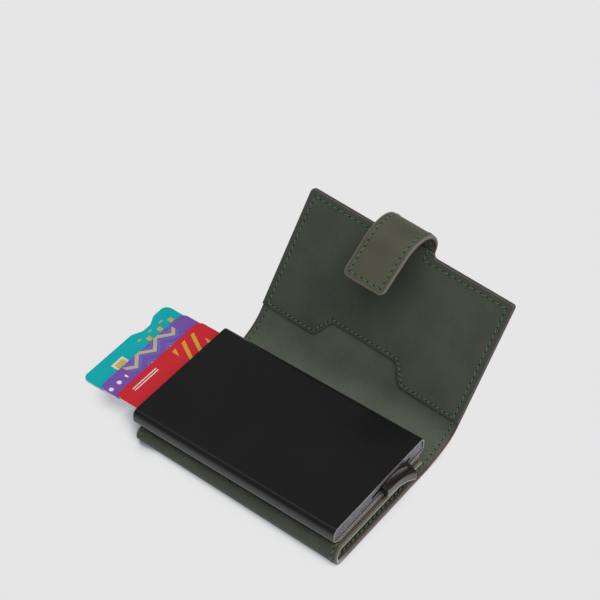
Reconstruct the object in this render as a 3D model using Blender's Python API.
"""Pop up card holder: an aluminium card cassette with a lever, in a folded leather wrap.

The wrap lies open: base on the table, cassette on the seat above it, flap leaning up and tab
curled over. World axes: X runs from the fold to the flap, Y from the lever end to the card
mouth, Z up from the table. All lengths are in metres, all angles in degrees.
"""
import math

import bmesh
import bpy
from mathutils import Matrix, Vector

# Clearances
FIT_GAP = 0.0003
LAYER_GAP = 0.0001
SLIDE_GAP = 0.0002
OVERRUN = 0.001

# Bank cards
CARD_LENGTH = 0.0856
CARD_WIDTH = 0.05398
CARD_THICKNESS = 0.00076
CARD_CORNER = 0.00318
CARD_GAP = 0.00015
CARD_STACK_TOP = 0.0059
CARD_LEAD_SHARE = 0.04
NOTCH_DEPTH = 0.0024
NOTCH_WIDTH = 0.0145
NOTCH_CENTRE = 0.0385
NOTCH_ROUND = 0.003

# Cassette sleeve
CASE_END_ROOM = 0.0169
CASE_SIDE_ROOM = 0.00376
CASE_LENGTH = CARD_LENGTH + CASE_END_ROOM
CASE_WIDTH = CARD_WIDTH + CASE_SIDE_ROOM * 2
CASE_HEIGHT = 0.008
CASE_WALL = 0.0009
CASE_ROUND = 0.0028
CASE_RIM = 0.00015

# End cap and its tray
CAP_RECESS = 0.0003
CAP_WALL = 0.002
TRAY_LENGTH = 0.019
TRAY_THICKNESS = 0.0006
TRAY_LOW = CASE_WALL + FIT_GAP + LAYER_GAP
TRAY_INSET = 0.0015
SLOT_LEAD = 0.00515
SLOT_START = CASE_WIDTH / 2 - SLOT_LEAD
SLOT_LENGTH = 0.0264
SLOT_HEIGHT = 0.0024
SLOT_LOW = 0.002

# Lever: finger fin outside, slide bar and fork inside
FIN_OFFSET = 0.00035
FIN_START = CASE_WIDTH / 2 + FIN_OFFSET
FIN_LENGTH = 0.0171
FIN_REACH = 0.0073
FIN_LOW = 0.002
FIN_HEIGHT = 0.0041
FIN_EDGE = 0.0004
HOLLOW_LENGTH = 0.0134
HOLLOW_WIDTH = 0.0039
HOLLOW_DEPTH = 0.0009
HOLLOW_ALONG_SHARE = 0.50
HOLLOW_OUT_SHARE = 0.315
HOLLOW_RAISE_SHARE = 0.3
HOLLOW_TURN = -7.0
HOLLOW_STEPS = 24
NECK_INSET = 0.0029
NECK_LENGTH = 0.0120
BAR_DEPTH = 0.0026
BAR_RISE = 0.00035
BAR_HEIGHT = 0.0019
FORK_DEPTH = 0.0046
FORK_WALL = 0.0019
FORK_FLOOR = 0.0008

# Ejector arm
PIVOT_INSET = 0.011
PIVOT_DEPTH = 0.0102
PIN_RADIUS = 0.001
HUB_RADIUS = 0.0026
ARM_HALF_WIDTH = 0.0022
ARM_ANGLE = 52.0
ARM_SWING = 54.0
ARM_REACH_LOWER = 0.0434
ARM_REACH_MIDDLE = 0.0318
ARM_REACH_UPPER = 0.0208
CRANK_RADIUS = 0.0055
CRANK_WIDTH = 0.0026
CRANK_PIN_RADIUS = 0.0008

# Felt pads
PAD_LENGTH = 0.012
PAD_INSET = 0.005
PAD_FROM_MOUTH = 0.0035

# Leather
LEATHER = 0.0011
LINING = 0.0008
POCKET_LEATHER = 0.0010
PATCH_THICKNESS = 0.0011
PATCH_INSET = 0.0012
WRAP_SETBACK = 0.001
WRAP_WIDTH = CASE_LENGTH - WRAP_SETBACK
WRAP_OVERHANG = 0.0022
FAR_SPREAD = 0.0015

# Seat and fold: heights of the cassette's underside over the table
SEAT_HEIGHT = 0.01312
SEAT_PITCH = 2.24
SEAT_SETBACK = 0.0041
FOLD_BULGE = 0.0009
FOLD_DEPTH = 0.0042
BASE_MARGIN = 0.0007
BASE_LENGTH = CASE_WIDTH + BASE_MARGIN
PLATE_LENGTH = 0.014
PLATE_WIDTH = 0.018
PLATE_THICKNESS = 0.0005

# Flap: where its lower near corner stands, and how it leans
FLAP_FOOT_OUT = 0.0208
FLAP_FOOT_NEAR = 0.0006
FLAP_FOOT_RISE = 0.00967
FLAP_SLOPE = 58.55
FLAP_YAW = -4.81
FLAP_ROLL = 6.73
FLAP_LENGTH = 0.0585
FLAP_CORNER = 0.0015
SPINE_START_SLOPE = 9.0
SPINE_LEAVE_SHARE = 0.42
SPINE_ARRIVE_SHARE = 0.34
POCKET_MARGIN = 0.0010
POCKET_STEP = 0.0095
POCKET_CENTRE = 0.0534
POCKET_HALF = 0.0157
POCKET_SPREAD = 0.0078
POCKET_ROUND = 0.0022

# Tab
TAB_NEAR = 0.0406
TAB_FAR = 0.0619
TAB_TIP_NEAR = 0.0433
TAB_TIP_FAR = 0.0635
TAB_RISER = 0.0022
TAB_FILLET = 0.0020
TAB_FIRST_RADIUS = 0.0067
TAB_FIRST_TURN = 49.0
TAB_SECOND_RADIUS = 0.0143
TAB_SECOND_TURN = 114.0
TAB_END_LENGTH = 0.0175
TAB_CORNER = 0.0030
MAGNET_RADIUS = 0.0036
MAGNET_THICKNESS = 0.0005

# Hinge places
SPINE_SEAM = 0.0007
FLAP_SEAM = 0.0007
FLAP_HINGE_UP = 0.0030
TAB_SEAM = 0.0005

# Facets
ROUND_STEPS = 8
EDGE_STEPS = 7
BEND_STEPS = 10
SPINE_STEPS = 12
TURN_STEPS = 32

WRAP_THICKNESS = LEATHER + LAYER_GAP + LINING
MATERIALS = {}


def clear_scene():
    for item in list(bpy.data.objects):
        bpy.data.objects.remove(item, do_unlink=True)


def material(name, colour, roughness, metallic):
    """A plain Principled material, made once and shared by name."""
    if name not in MATERIALS:
        made = bpy.data.materials.new(name)
        made.use_nodes = True
        shader = made.node_tree.nodes["Principled BSDF"]
        shader.inputs["Base Color"].default_value = (*colour, 1)
        shader.inputs["Roughness"].default_value = roughness
        shader.inputs["Metallic"].default_value = metallic
        MATERIALS[name] = made
    return MATERIALS[name]


def finish_of(kind):
    """Colour, roughness and metallic value of each finish on the holder."""
    finishes = {
        "green_leather": ((0.052, 0.062, 0.042), 0.55, 0),
        "green_lining": ((0.044, 0.055, 0.038), 0.60, 0),
        "olive_patch": ((0.085, 0.082, 0.062), 0.60, 0),
        "black_anodised": ((0.014, 0.013, 0.014), 0.35, 0.4),
        "grey_plastic": ((0.145, 0.145, 0.150), 0.45, 0),
        "black_plastic": ((0.012, 0.012, 0.012), 0.30, 0),
        "steel": ((0.55, 0.55, 0.56), 0.30, 1),
        "felt": ((0.05, 0.05, 0.05), 0.90, 0),
        "card_red": ((0.48, 0.028, 0.045), 0.35, 0),
        "card_purple": ((0.16, 0.085, 0.36), 0.35, 0),
        "card_teal": ((0.010, 0.36, 0.38), 0.35, 0),
    }
    return material(kind, *finishes[kind])


def placed(place, turn=None):
    """World matrix from a place and, where it leans, a 3x3 turn."""
    return Matrix.Translation(Vector(place)) @ (turn or Matrix.Identity(3)).to_4x4()


def frame(name, parent, world):
    """An empty that carries pieces, standing where its world matrix says."""
    empty = bpy.data.objects.new(name, None)
    bpy.context.collection.objects.link(empty)
    empty.parent = parent
    bpy.context.view_layer.update()
    empty.matrix_world = world
    bpy.context.view_layer.update()
    return empty


def into(solid, carrier):
    """Moves a solid drawn in table axes into the axes of the frame that carries it."""
    bmesh.ops.transform(solid, matrix=carrier.matrix_world.inverted(), verts=solid.verts)
    return solid


def piece(name, mesh_source, parent, finish, place=(0, 0, 0), turn=0, smooth_angle=35.0):
    """Turns a bmesh into a named object under its frame."""
    bmesh.ops.recalc_face_normals(mesh_source, faces=mesh_source.faces)
    mesh = bpy.data.meshes.new(name)
    mesh_source.to_mesh(mesh)
    mesh_source.free()
    mesh.shade_smooth()
    mesh.set_sharp_from_angle(angle=math.radians(smooth_angle))
    made = bpy.data.objects.new(name, mesh)
    bpy.context.collection.objects.link(made)
    made.parent = parent
    made.location = place
    made.rotation_euler = (0, 0, math.radians(turn))
    made.data.materials.append(finish_of(finish))
    return made


def arc(centre, radius, start, end, steps):
    """Points on a circle from one angle to another, in degrees."""
    points = []
    for step in range(steps + 1):
        angle = math.radians(start + (end - start) * step / steps)
        points.append((centre[0] + radius * math.cos(angle), centre[1] + radius * math.sin(angle)))
    return points


def rounded(corners, steps=ROUND_STEPS):
    """An outline from (x, y, radius) corners, each corner replaced by its arc."""
    outline = []
    for index, (x, y, radius) in enumerate(corners):
        corner = Vector((x, y))
        back = (Vector(corners[index - 1][:2]) - corner).normalized()
        ahead = (Vector(corners[(index + 1) % len(corners)][:2]) - corner).normalized()
        if radius == 0:
            outline.append((x, y))
            continue
        half = back.angle(ahead) / 2
        centre = corner + (back + ahead).normalized() * (radius / math.sin(half))
        first = corner + back * (radius / math.tan(half)) - centre
        last = corner + ahead * (radius / math.tan(half)) - centre
        turn = math.atan2(first.cross(last), first.dot(last))
        for step in range(steps + 1):
            spoke = first.copy()
            spoke.rotate(Matrix.Rotation(turn * step / steps, 2))
            outline.append(tuple(centre + spoke))
    return outline


def box_outline(low_x, low_y, high_x, high_y, radius=0, steps=ROUND_STEPS):
    return rounded([(low_x, low_y, radius), (high_x, low_y, radius),
                    (high_x, high_y, radius), (low_x, high_y, radius)], steps)


def prism(outline, low, high):
    """Closed solid over a flat outline, from one height to another."""
    solid = bmesh.new()
    lower = [solid.verts.new((x, y, low)) for x, y in outline]
    upper = [solid.verts.new((x, y, high)) for x, y in outline]
    solid.faces.new(lower)
    solid.faces.new(reversed(upper))
    for index in range(len(outline)):
        after = (index + 1) % len(outline)
        solid.faces.new((lower[index], upper[index], upper[after], lower[after]))
    return solid


def sleeve(outer, inner, start, end):
    """Tube along Y between two outlines in XZ with equally many points."""
    solid = bmesh.new()
    rings = []
    for depth in (start, end):
        rings.append([[solid.verts.new((x, depth, z)) for x, z in ring] for ring in (outer, inner)])
    count = len(outer)
    for index in range(count):
        after = (index + 1) % count
        for wall in (0, 1):
            near, far = rings[0][wall], rings[1][wall]
            solid.faces.new((near[index], near[after], far[after], far[index]))
        for outer_ring, inner_ring in rings:
            solid.faces.new((outer_ring[index], outer_ring[after], inner_ring[after], inner_ring[index]))
    return solid


def sheet(near, far, low, high):
    """Bent sheet between two edge paths of (point, inward normal), from one depth to another."""
    solid = bmesh.new()
    rows = []
    for (near_point, near_normal), (far_point, far_normal) in zip(near, far):
        rows.append([solid.verts.new(Vector(point) + Vector(normal) * depth)
                     for depth in (low, high)
                     for point, normal in ((near_point, near_normal), (far_point, far_normal))])
    for first, second in zip(rows, rows[1:]):
        for a, b in ((0, 1), (1, 3), (3, 2), (2, 0)):
            solid.faces.new((first[a], first[b], second[b], second[a]))
    for end in (rows[0], rows[-1]):
        solid.faces.new((end[0], end[1], end[3], end[2]))
    bmesh.ops.triangulate(solid, faces=[face for face in solid.faces if len(face.verts) == 4])
    return solid


def cutter(name, solid, parent, place=(0, 0, 0)):
    """A hidden solid that only cuts or joins."""
    bmesh.ops.recalc_face_normals(solid, faces=solid.faces)
    mesh = bpy.data.meshes.new(name)
    solid.to_mesh(mesh)
    solid.free()
    made = bpy.data.objects.new(name, mesh)
    bpy.context.collection.objects.link(made)
    made.parent = parent
    made.location = place
    made.hide_render = True
    made.display_type = "WIRE"
    return made


def combine(target, other, operation):
    """Boolean with another solid, kept live on the piece."""
    step = target.modifiers.new(other.name, "BOOLEAN")
    step.object = other
    step.operation = operation
    step.solver = "EXACT"


def bevel(target, width, segments=2, limit=40.0):
    edge = target.modifiers.new("soft_edges", "BEVEL")
    edge.width = width
    edge.segments = segments
    edge.limit_method = "ANGLE"
    edge.angle_limit = math.radians(limit)


def case_outline(inset):
    """Cross-section of the sleeve, moved inwards by an inset."""
    radius = max(CASE_ROUND - inset, CASE_ROUND * 0.25)
    return box_outline(inset, inset, CASE_WIDTH - inset, CASE_HEIGHT - inset, radius, EDGE_STEPS)


def add_case(case):
    shell = piece("cassette_shell", sleeve(case_outline(0), case_outline(CASE_WALL), 0, CASE_LENGTH),
                  case, "black_anodised")
    bevel(shell, CASE_RIM, 1, 60.0)

    plug = [(x, z) for x, z in case_outline(CASE_WALL + FIT_GAP)]
    wall = prism(plug, 0, CAP_WALL)
    bmesh.ops.transform(wall, matrix=Matrix.Rotation(math.radians(90), 4, "X"), verts=wall.verts)
    bmesh.ops.translate(wall, vec=(0, CAP_RECESS + CAP_WALL, 0), verts=wall.verts)
    cap = piece("end_cap", wall, case, "grey_plastic")
    tray_left = CASE_WALL + TRAY_INSET
    tray_end = CAP_RECESS + CAP_WALL + TRAY_LENGTH
    tray = prism(box_outline(tray_left, CAP_RECESS + CAP_WALL / 2, CASE_WIDTH - tray_left, tray_end),
                 TRAY_LOW, TRAY_LOW + TRAY_THICKNESS)
    combine(cap, cutter("cap_tray", tray, case), "UNION")
    slot = prism(box_outline(SLOT_START, SLOT_LOW, SLOT_START + SLOT_LENGTH, SLOT_LOW + SLOT_HEIGHT,
                             SLOT_HEIGHT / 3), -OVERRUN, CAP_WALL + OVERRUN)
    bmesh.ops.transform(slot, matrix=Matrix.Rotation(math.radians(90), 4, "X"), verts=slot.verts)
    bmesh.ops.translate(slot, vec=(0, CAP_RECESS + CAP_WALL, 0), verts=slot.verts)
    combine(cap, cutter("lever_slot", slot, case), "DIFFERENCE")
    seat_bore = prism(arc((PIVOT_INSET, PIVOT_DEPTH), PIN_RADIUS + LAYER_GAP, 0, 360, TURN_STEPS)[:-1],
                      TRAY_LOW - OVERRUN, TRAY_LOW + TRAY_THICKNESS + OVERRUN)
    combine(cap, cutter("pin_seat", seat_bore, case), "DIFFERENCE")

    pin = prism(arc((0, 0), PIN_RADIUS, 0, 360, TURN_STEPS)[:-1], TRAY_LOW,
                CASE_HEIGHT - CASE_WALL - FIT_GAP)
    piece("ejector_pin", pin, case, "steel", (PIVOT_INSET, PIVOT_DEPTH, 0))


def card_low(number):
    """Underside height of a card in the cassette: 0 is the upper card."""
    return CARD_STACK_TOP - CARD_THICKNESS - number * (CARD_THICKNESS + CARD_GAP)


def add_pads(case):
    left = CASE_SIDE_ROOM + PAD_INSET
    end = CASE_LENGTH - PAD_FROM_MOUTH
    outline = box_outline(left, end - PAD_LENGTH, CASE_WIDTH - left, end, PAD_LENGTH / 6, 4)
    piece("felt_pad_lower", prism(outline, CASE_WALL + LAYER_GAP, card_low(2) - CARD_GAP),
          case, "felt")
    piece("felt_pad_upper", prism(outline, CARD_STACK_TOP + CARD_GAP,
                                  CASE_HEIGHT - CASE_WALL - LAYER_GAP), case, "felt")


def add_cards(case):
    """Three cards, each drawn further out than the one above it."""
    left = CASE_SIDE_ROOM
    plain = box_outline(0, -CARD_LENGTH, CARD_WIDTH, 0, CARD_CORNER)
    reach = NOTCH_WIDTH / 2
    notched = rounded([
        (0, -CARD_LENGTH, CARD_CORNER), (CARD_WIDTH, -CARD_LENGTH, CARD_CORNER),
        (CARD_WIDTH, 0, CARD_CORNER),
        (NOTCH_CENTRE + reach, 0, NOTCH_ROUND),
        (NOTCH_CENTRE + reach / 3, -NOTCH_DEPTH, NOTCH_ROUND),
        (NOTCH_CENTRE - reach / 3, -NOTCH_DEPTH, NOTCH_ROUND),
        (NOTCH_CENTRE - reach, 0, NOTCH_ROUND),
        (0, 0, CARD_CORNER)])
    cards = (("card_upper", ARM_REACH_UPPER, plain, "card_red"),
             ("card_middle", ARM_REACH_MIDDLE, plain, "card_purple"),
             ("card_lower", ARM_REACH_LOWER, notched, "card_teal"))
    push = math.sin(math.radians(ARM_ANGLE)) + CARD_LEAD_SHARE
    for number, (name, reach, outline, finish) in enumerate(cards):
        inner_end = PIVOT_DEPTH + ARM_HALF_WIDTH + reach * push
        piece(name, prism(outline, 0, CARD_THICKNESS), case, finish,
              (left, inner_end + CARD_LENGTH, card_low(number)))


def bar_low():
    """Underside height of the lever's slide bar."""
    return TRAY_LOW + TRAY_THICKNESS + BAR_RISE


def crank_pin_place():
    """Place of the crank pin from the pivot, half the swing past straight down."""
    angle = math.radians(ARM_SWING / 2 - 90)
    return CRANK_RADIUS * math.cos(angle), CRANK_RADIUS * math.sin(angle)


def thumb_hollow():
    """Flat egg shape that presses a hollow for the thumb into the fin's upper face."""
    solid = bmesh.new()
    bmesh.ops.create_uvsphere(solid, u_segments=HOLLOW_STEPS, v_segments=HOLLOW_STEPS // 2, radius=1)
    deep = HOLLOW_DEPTH / (1 - HOLLOW_RAISE_SHARE)
    bmesh.ops.scale(solid, vec=(HOLLOW_LENGTH / 2, HOLLOW_WIDTH / 2, deep), verts=solid.verts)
    turn = Matrix.Rotation(math.radians(HOLLOW_TURN), 4, "Z")
    place = Matrix.Translation((FIN_START + FIN_LENGTH * HOLLOW_ALONG_SHARE, -FIN_REACH * HOLLOW_OUT_SHARE,
                                FIN_LOW + FIN_HEIGHT + deep * HOLLOW_RAISE_SHARE))
    bmesh.ops.transform(solid, matrix=place @ turn, verts=solid.verts)
    return solid


def add_lever(case):
    """Finger fin with a hollow face, a neck through the slot and a fork round the crank pin."""
    fin_corner_shares = ((0, 0, 0), (1, 0, 0), (0.98, 0.41, 0.70), (0.852, 1, 0.035),
                         (0.58, 0.60, 0.90), (0, 0.48, 0.04))
    outline = rounded([(FIN_START + FIN_LENGTH * along, -FIN_REACH * out, FIN_LENGTH * radius)
                       for along, out, radius in fin_corner_shares])
    fin = piece("lever", prism(outline, FIN_LOW, FIN_LOW + FIN_HEIGHT), case, "black_plastic",
                (0, -FIT_GAP, 0))
    bevel(fin, FIN_EDGE, 2, 50.0)
    combine(fin, cutter("lever_hollow", thumb_hollow(), case), "DIFFERENCE")

    low = bar_low()
    inner = CAP_RECESS + CAP_WALL + FIT_GAP
    neck_start = FIN_START + NECK_INSET
    neck_end = neck_start + NECK_LENGTH
    pin_x = PIVOT_INSET + crank_pin_place()[0]
    pin_y = PIVOT_DEPTH + crank_pin_place()[1]
    fork_half = CRANK_PIN_RADIUS + SLIDE_GAP
    floor = pin_y - fork_half - FORK_FLOOR
    left, right = pin_x - fork_half - FORK_WALL, pin_x + fork_half + FORK_WALL
    slide = prism([(left, inner), (neck_start, inner), (neck_start, -FIN_EDGE * 2),
                   (neck_end, -FIN_EDGE * 2), (neck_end, inner + BAR_DEPTH),
                   (right, inner + BAR_DEPTH), (right, inner + FORK_DEPTH),
                   (pin_x + fork_half, inner + FORK_DEPTH), (pin_x + fork_half, floor),
                   (pin_x - fork_half, floor), (pin_x - fork_half, inner + FORK_DEPTH),
                   (left, inner + FORK_DEPTH)], low, low + BAR_HEIGHT)
    combine(fin, cutter("lever_slide", slide, case), "UNION")


def bar_between(reach, half_width):
    """Capsule outline from the origin along X, turned later with the arm."""
    return arc((0, 0), half_width, 90, 270, ROUND_STEPS) + arc((reach, 0), half_width, -90, 90, ROUND_STEPS)


def add_arm(case):
    """Ejector arm: a stair in height, longest under the lowest card, with a crank on its hub."""
    low = bar_low() + LAYER_GAP
    fork_top = bar_low() + BAR_HEIGHT
    top_upper = CARD_STACK_TOP
    hub = prism(arc((0, 0), HUB_RADIUS, 0, 360, TURN_STEPS)[:-1], low, top_upper + LAYER_GAP)
    arm = piece("ejector_arm", hub, case, "black_plastic", (PIVOT_INSET, PIVOT_DEPTH, 0), ARM_ANGLE)
    steps = (("arm_step_lower", ARM_REACH_LOWER, card_low(1) - CARD_GAP / 2),
             ("arm_step_middle", ARM_REACH_MIDDLE, card_low(0) - CARD_GAP / 2),
             ("arm_step_upper", ARM_REACH_UPPER, top_upper))
    for name, reach, top in steps:
        solid = prism(bar_between(reach, ARM_HALF_WIDTH), low + LAYER_GAP, top)
        combine(arm, cutter(name, solid, arm), "UNION")
    pin_x, pin_y = crank_pin_place()
    turn = math.radians(-ARM_ANGLE)
    pin_x, pin_y = (pin_x * math.cos(turn) - pin_y * math.sin(turn),
                    pin_x * math.sin(turn) + pin_y * math.cos(turn))
    crank = prism(bar_between(CRANK_RADIUS, CRANK_WIDTH / 2), fork_top + FIT_GAP, top_upper - LAYER_GAP)
    crank_turn = Matrix.Rotation(math.atan2(pin_y, pin_x), 4, "Z")
    bmesh.ops.transform(crank, matrix=crank_turn, verts=crank.verts)
    combine(arm, cutter("arm_crank", crank, arm), "UNION")
    stud = prism(arc((pin_x, pin_y), CRANK_PIN_RADIUS, 0, 360, TURN_STEPS // 2)[:-1],
                 bar_low() + FIT_GAP, fork_top + FIT_GAP + LAYER_GAP)
    combine(arm, cutter("arm_crank_pin", stud, arm), "UNION")
    bore = prism(arc((0, 0), PIN_RADIUS + LAYER_GAP, 0, 360, TURN_STEPS)[:-1], low - OVERRUN,
                 top_upper + OVERRUN)
    combine(arm, cutter("arm_bore", bore, arm), "DIFFERENCE")


def seat_top(along):
    """Height of the seat leather's upper face over the table, at a distance along the fold."""
    drop = math.tan(math.radians(SEAT_PITCH)) * along
    return SEAT_HEIGHT - drop - FIT_GAP - PATCH_THICKNESS - LAYER_GAP


def fold_edge(along, first, last, land_x, land_height, inward):
    """Outer face of half the oval fold at one end, from its side to the land it runs into."""
    rise = seat_top(along) / 2
    centre = FOLD_DEPTH - FOLD_BULGE
    path = []
    for step in range(BEND_STEPS + 1):
        angle = math.radians(first + (last - first) * step / BEND_STEPS)
        point = (centre - FOLD_DEPTH * math.cos(angle), along, rise + rise * math.sin(angle))
        normal = Vector((math.cos(angle) / FOLD_DEPTH, 0, -math.sin(angle) / rise)).normalized()
        path.append((point, normal))
    path.append(((land_x, along, land_height * rise), inward))
    return path


def fold_ends(first, last, land_x, land_height, inward):
    return [fold_edge(along, first, last, land_x, land_height, inward)
            for along in (-WRAP_OVERHANG, WRAP_WIDTH - WRAP_OVERHANG + FAR_SPREAD)]


def fold_split():
    """Angle by which each half of the fold stops short of its side, for the seam gap."""
    return math.degrees(FIT_GAP / seat_top(WRAP_WIDTH))


def add_base(root):
    """Base strip with the lower half of the fold, and the plate that the tab holds to."""
    near, far = fold_ends(-fold_split(), -90, BASE_LENGTH, 0, (0, 0, 1))
    piece("base_leather", sheet(near, far, 0, LEATHER), root, "green_leather")
    lining = piece("base_lining", sheet(near, far, LEATHER + LAYER_GAP, WRAP_THICKNESS), root,
                   "green_lining")
    middle = WRAP_WIDTH / 2 - WRAP_OVERHANG
    left = FOLD_DEPTH - FOLD_BULGE
    low, high = middle - PLATE_WIDTH / 2, middle + PLATE_WIDTH / 2
    recess = prism(box_outline(left, low, left + PLATE_LENGTH, high), -OVERRUN,
                   LEATHER + LAYER_GAP + PLATE_THICKNESS)
    combine(lining, cutter("plate_recess", recess, root), "DIFFERENCE")
    plate = prism(box_outline(left + FIT_GAP, low + FIT_GAP, left + PLATE_LENGTH - FIT_GAP,
                              high - FIT_GAP), LEATHER + LAYER_GAP / 2,
                  LEATHER + PLATE_THICKNESS)
    piece("base_plate", plate, root, "steel")


def add_seat(hinge, case):
    """Upper half of the fold with the seat, and the patch between the seat and the sleeve."""
    near, far = fold_ends(fold_split(), 90, CASE_WIDTH - SEAT_SETBACK, 2, (0, 0, -1))
    piece("seat_leather", into(sheet(near, far, 0, LEATHER), hinge), hinge, "green_leather")
    piece("seat_lining", into(sheet(near, far, LEATHER + LAYER_GAP, WRAP_THICKNESS), hinge), hinge,
          "green_lining")
    patch = prism(box_outline(PATCH_INSET, -FIT_GAP, CASE_WIDTH - PATCH_INSET * 2,
                              CASE_LENGTH - WRAP_OVERHANG, PATCH_INSET, 4),
                  -FIT_GAP - PATCH_THICKNESS, -FIT_GAP)
    piece("seat_patch", patch, case, "olive_patch")


def flap_turn():
    """Rest orientation of the flap: X up its slope, Y along its foot, Z to its inner side."""
    return (Matrix.Rotation(math.radians(FLAP_YAW), 3, "Z")
            @ Matrix.Rotation(math.radians(-FLAP_SLOPE), 3, "Y")
            @ Matrix.Rotation(math.radians(FLAP_ROLL), 3, "X"))


def spine_edge(along, flap_foot):
    """Outer face of the spine at one end: a smooth curve from the base edge to the flap's foot."""
    start = Vector((BASE_LENGTH + SPINE_SEAM, along * (1 + FAR_SPREAD / WRAP_WIDTH) - WRAP_OVERHANG, 0))
    up_slope = flap_turn() @ Vector((1, 0, 0))
    finish = flap_foot + flap_turn() @ Vector((-FLAP_SEAM, along, 0))
    rise = math.radians(SPINE_START_SLOPE)
    reach = (finish - start).length
    leave = start + Vector((math.cos(rise), 0, math.sin(rise))) * reach * SPINE_LEAVE_SHARE
    arrive = finish - up_slope * reach * SPINE_ARRIVE_SHARE
    path = []
    for step in range(SPINE_STEPS + 1):
        t = step / SPINE_STEPS
        s = 1 - t
        point = start * s ** 3 + leave * 3 * s * s * t + arrive * 3 * s * t * t + finish * t ** 3
        tangent = (leave - start) * s * s + (arrive - leave) * 2 * s * t + (finish - arrive) * t * t
        normal = Vector((-tangent.z, 0, tangent.x)).normalized()
        path.append((point, normal))
    return path


def add_spine(hinge, flap_foot):
    near, far = spine_edge(0, flap_foot), spine_edge(WRAP_WIDTH, flap_foot)
    piece("spine_leather", into(sheet(near, far, 0, LEATHER), hinge), hinge, "green_leather")
    piece("spine_lining", into(sheet(near, far, LEATHER + LAYER_GAP, WRAP_THICKNESS), hinge), hinge,
          "green_lining")


def flap_outline(mouth_points, riser):
    """Flap with its tab neck: X up the slope from the foot, Y along the foot."""
    top = FLAP_LENGTH
    share = riser / sum(tab_runs())
    near = TAB_NEAR + (TAB_TIP_NEAR - TAB_NEAR) * share
    far = TAB_FAR + (TAB_TIP_FAR - TAB_FAR) * share
    return rounded([
        (mouth_points[-1][0], 0, 0), (top, 0, FLAP_CORNER), (top, near, TAB_FILLET),
        (top + riser, near, 0), (top + riser, far, 0), (top, far, TAB_FILLET),
        (top, WRAP_WIDTH, FLAP_CORNER), (mouth_points[0][0], WRAP_WIDTH, 0)] + mouth_points[1:-1])


def pocket_mouth():
    """Lower edge of the pocket panel, from far to near: it steps back in the middle for the thumb."""
    mouth, step = POCKET_MARGIN, POCKET_MARGIN + POCKET_STEP
    half, wide = POCKET_HALF, POCKET_HALF + POCKET_SPREAD
    return [(mouth, WRAP_WIDTH, 0), (mouth, POCKET_CENTRE + wide, POCKET_ROUND),
            (step, POCKET_CENTRE + half, POCKET_ROUND), (step, POCKET_CENTRE - half, POCKET_ROUND),
            (mouth, POCKET_CENTRE - wide, POCKET_ROUND), (mouth, 0, 0)]


def onto_flap(solid, foot, carrier):
    """Moves a solid drawn in the flap's own axes into the frame that carries it."""
    bmesh.ops.transform(solid, matrix=placed(foot, flap_turn()), verts=solid.verts)
    return into(solid, carrier)


def add_flap(hinge, foot):
    straight = [(0, WRAP_WIDTH, 0), (0, 0, 0)]
    inner = WRAP_THICKNESS + LAYER_GAP
    layers = (("flap_leather", straight, 0, LEATHER, "green_leather"),
              ("flap_lining", straight, LEATHER + LAYER_GAP, WRAP_THICKNESS, "green_lining"),
              ("pocket_panel", pocket_mouth(), inner, inner + POCKET_LEATHER, "green_leather"))
    for name, mouth_points, low, high, finish in layers:
        solid = prism(flap_outline(mouth_points, TAB_RISER), low, high)
        piece(name, onto_flap(solid, foot, hinge), hinge, finish)


def tab_runs():
    """Lengths of the tab's runs: riser, first curl, second curl and straight end."""
    return (TAB_RISER, TAB_FIRST_RADIUS * math.radians(TAB_FIRST_TURN),
            TAB_SECOND_RADIUS * math.radians(TAB_SECOND_TURN), TAB_END_LENGTH)


def tab_at(run):
    """Outer face of the tab at a length from the flap's edge: x, z, its angle and its two edges."""
    riser, first, second, end = tab_runs()
    x, z, angle = FLAP_LENGTH + min(run, riser), 0, 0
    left = run - riser
    for length, radius in ((first, TAB_FIRST_RADIUS), (second, TAB_SECOND_RADIUS)):
        turned = angle + min(max(left, 0), length) / radius
        x += radius * (math.sin(turned) - math.sin(angle))
        z += radius * (math.cos(angle) - math.cos(turned))
        angle = turned
        left -= length
    x += max(left, 0) * math.cos(angle)
    z += max(left, 0) * math.sin(angle)
    share = run / (riser + first + second + end)
    near = TAB_NEAR + (TAB_TIP_NEAR - TAB_NEAR) * share
    far = TAB_FAR + (TAB_TIP_FAR - TAB_FAR) * share
    return x, z, angle, near, far


def tab_strip(start, end):
    """Near and far edge paths of a stretch of the tab."""
    paths = ([], [])
    for step in range(BEND_STEPS + 1):
        x, z, angle, near, far = tab_at(start + (end - start) * step / BEND_STEPS)
        for side, path in zip((near, far), paths):
            path.append(((x, side, z), (-math.sin(angle), 0, math.cos(angle))))
    return paths


def tab_frame(name, parent, foot, run, depth):
    """Hinge frame across the tab at a length from the flap's edge and a depth in its leather."""
    x, z, angle, near, far = tab_at(run)
    place = (x - depth * math.sin(angle), (near + far) / 2, z + depth * math.cos(angle))
    curl = Matrix.Rotation(-angle, 3, "Y")
    return frame(name, parent, placed(foot, flap_turn()) @ placed(place, curl))


def add_tab(flap_hinge, foot):
    """First curl on the flap, second curl on its hinge, then the folding end with its magnet."""
    riser, first, second, end = tab_runs()
    split = riser + first
    last = split + second
    tab_hinge = tab_frame("tab_hinge", flap_hinge, foot, split, 0)
    end_hinge = tab_frame("tab_end_hinge", tab_hinge, foot, last, WRAP_THICKNESS)
    layers = (("leather", 0, LEATHER, "green_leather"),
              ("lining", LEATHER + LAYER_GAP, WRAP_THICKNESS, "green_lining"))
    for layer, low, high, finish in layers:
        near, far = tab_strip(riser + FIT_GAP, split)
        piece("tab_root_" + layer, onto_flap(sheet(near, far, low, high), foot, flap_hinge),
              flap_hinge, finish)
        near, far = tab_strip(split + TAB_SEAM, last - FIT_GAP)
        piece("tab_" + layer, onto_flap(sheet(near, far, low, high), foot, tab_hinge), tab_hinge,
              finish)
    add_tab_end(end_hinge, last, layers)


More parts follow.
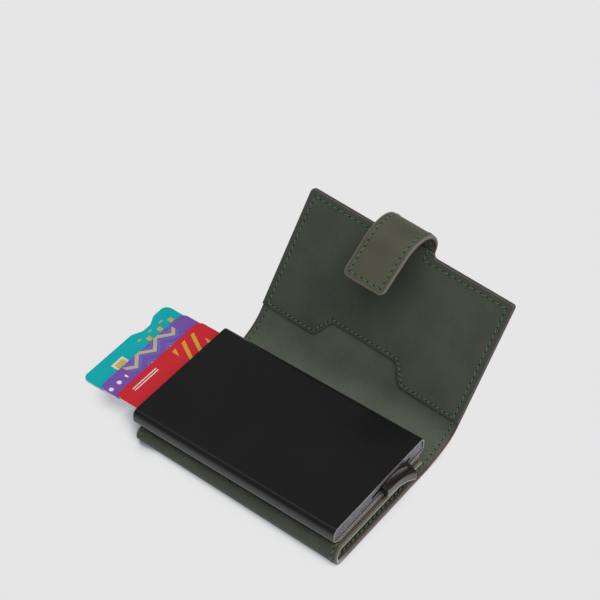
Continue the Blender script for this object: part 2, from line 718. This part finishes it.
def add_tab_end(hinge, last, layers):
    middle = (tab_at(last)[3] + tab_at(last)[4]) / 2
    root_near, root_far = (edge - middle for edge in tab_at(last)[3:])
    tip_near, tip_far = TAB_TIP_NEAR - middle, TAB_TIP_FAR - middle
    outline = rounded([(0, root_near, 0), (TAB_END_LENGTH, tip_near, TAB_CORNER),
                       (TAB_END_LENGTH, tip_far, TAB_CORNER), (0, root_far, 0)])
    place = (0, 0, -WRAP_THICKNESS)
    made = [piece("tab_end_" + layer, prism(outline, low, high), hinge, finish, place)
            for layer, low, high, finish in layers]
    centre = (TAB_END_LENGTH / 2, 0)
    recess = prism(arc(centre, MAGNET_RADIUS + FIT_GAP, 0, 360, TURN_STEPS)[:-1], -OVERRUN,
                   LEATHER + LAYER_GAP + MAGNET_THICKNESS)
    combine(made[1], cutter("magnet_recess", recess, hinge, place), "DIFFERENCE")
    disc = prism(arc(centre, MAGNET_RADIUS, 0, 360, TURN_STEPS)[:-1], LEATHER + LAYER_GAP / 2,
                 LEATHER + MAGNET_THICKNESS)
    piece("tab_magnet", disc, hinge, "steel", place)


def centre_on_base(top_frame):
    """Moves the whole holder so that its box stands centred on the origin."""
    bpy.context.view_layer.update()
    places = []
    graph = bpy.context.evaluated_depsgraph_get()
    for item in bpy.data.objects:
        if item.type == "MESH" and not item.hide_render:
            solid = item.evaluated_get(graph)
            places += [item.matrix_world @ vertex.co for vertex in solid.data.vertices]
    low = Vector([min(place[axis] for place in places) for axis in range(3)])
    high = Vector([max(place[axis] for place in places) for axis in range(3)])
    top_frame.location = (-(low.x + high.x) / 2, -(low.y + high.y) / 2, -low.z)
    bpy.context.view_layer.update()


def build():
    clear_scene()
    root = frame("holder", None, placed((0, 0, 0)))
    add_base(root)

    pitch = Matrix.Rotation(math.radians(-SEAT_PITCH), 3, "X")
    half_pitch = Matrix.Rotation(math.radians(-SEAT_PITCH / 2), 3, "X")
    seat_hinge = frame("seat_hinge", root, placed((-FOLD_BULGE, 0, seat_top(0) / 2), half_pitch))
    case = frame("cassette_frame", seat_hinge, placed((0, 0, SEAT_HEIGHT), pitch))
    add_seat(seat_hinge, case)
    add_case(case)
    add_pads(case)
    add_cards(case)
    add_lever(case)
    add_arm(case)

    spine_hinge = frame("spine_hinge", root, placed((BASE_LENGTH + FIT_GAP, 0, WRAP_THICKNESS)))
    flap_foot = Vector((BASE_LENGTH + FLAP_FOOT_OUT, -WRAP_OVERHANG - FLAP_FOOT_NEAR, FLAP_FOOT_RISE))
    add_spine(spine_hinge, flap_foot)
    axis_place = flap_foot + flap_turn() @ Vector((FLAP_HINGE_UP, 0, WRAP_THICKNESS))
    flap_hinge = frame("flap_hinge", spine_hinge, placed(axis_place, flap_turn()))
    add_flap(flap_hinge, flap_foot)
    add_tab(flap_hinge, flap_foot)
    centre_on_base(root)


build()
